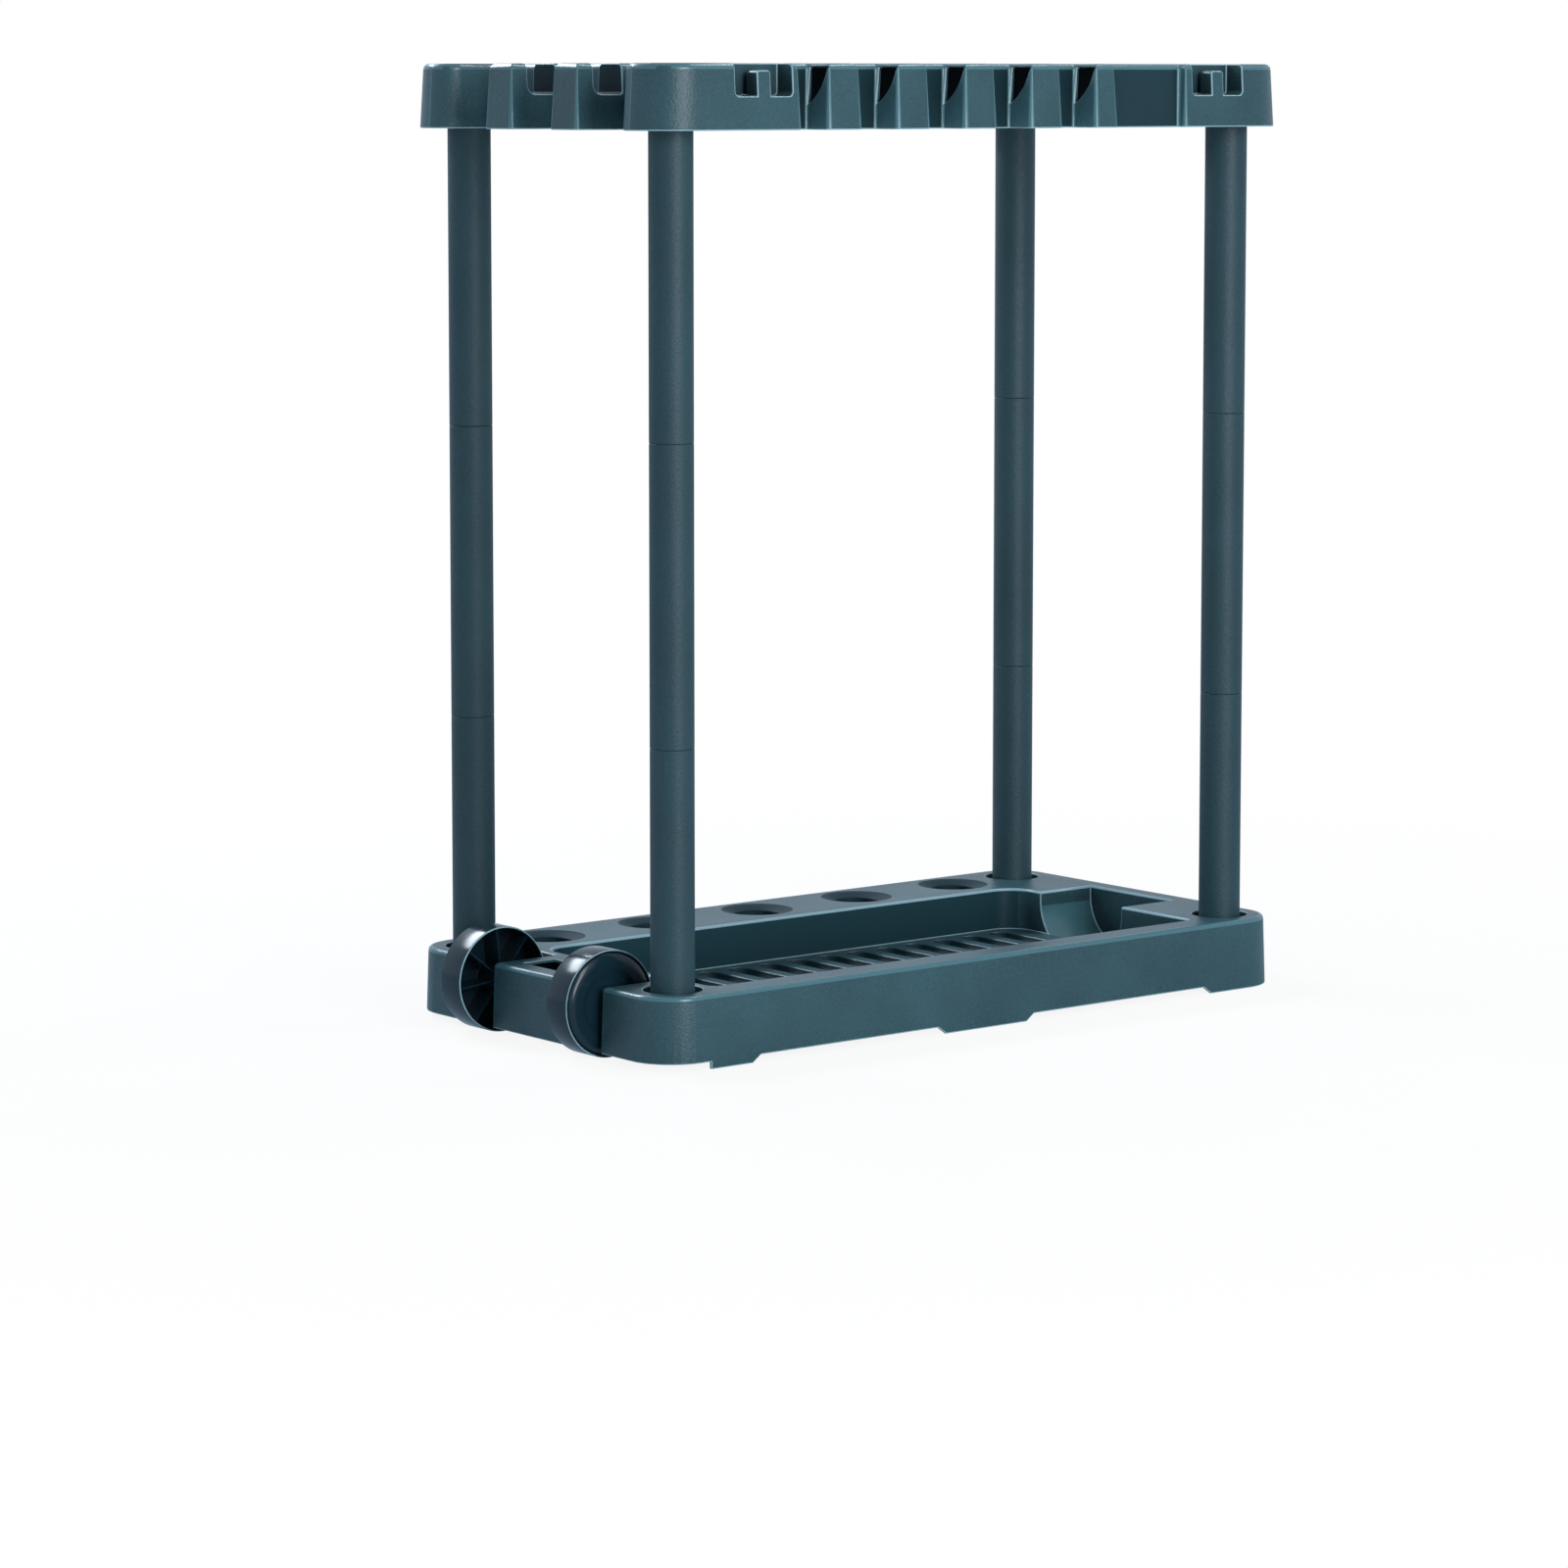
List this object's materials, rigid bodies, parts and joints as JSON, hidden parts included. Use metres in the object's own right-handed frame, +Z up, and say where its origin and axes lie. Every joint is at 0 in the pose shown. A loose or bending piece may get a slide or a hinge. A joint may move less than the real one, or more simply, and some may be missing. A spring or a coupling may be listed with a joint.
{
  "type": "garden tool rack",
  "caption": "Free-standing plastic tool rack: a grooved base tray with handle cups and wheels at one end, plug-together posts and a top rack with open handle slots and hooks.",
  "frame": {"origin": "centre of the whole box's footprint, on the floor under the feet", "axes": "+X along the rack away from the wheels, +Y from the front to the back, +Z up"},
  "size_m": [0.7544, 0.374, 0.845],
  "materials": {
    "moulded_plastic": "satin injection-moulded, fine grain",
    "tube_plastic": "satin extruded tube",
    "wheel_plastic": "glossy moulded",
    "axle_steel": "drawn rod"
  },
  "bodies": {
    "rack": {"base_tray": "moulded_plastic", "top_rack": "moulded_plastic", "wheel_axle": "axle_steel", "post_front_left_lower": "tube_plastic", "post_front_left_middle": "tube_plastic", "post_front_left_upper": "tube_plastic", "post_front_right_lower": "tube_plastic", "post_front_right_middle": "tube_plastic", "post_front_right_upper": "tube_plastic", "post_back_left_lower": "tube_plastic", "post_back_left_middle": "tube_plastic", "post_back_left_upper": "tube_plastic", "post_back_right_lower": "tube_plastic", "post_back_right_middle": "tube_plastic", "post_back_right_upper": "tube_plastic"},
    "front_wheel": {"wheel_front": "wheel_plastic"},
    "back_wheel": {"wheel_back": "wheel_plastic"}
  },
  "joints": [
    {"name": "front_wheel_spin", "type": "hinge", "parent": "rack", "child": "front_wheel", "pos_m": [-0.33075, -0.079, 0.047], "axis": [0, 1, 0], "continuous": true},
    {"name": "back_wheel_spin", "type": "hinge", "parent": "rack", "child": "back_wheel", "pos_m": [-0.33075, 0.079, 0.047], "axis": [0, 1, 0], "continuous": true}
  ]
}
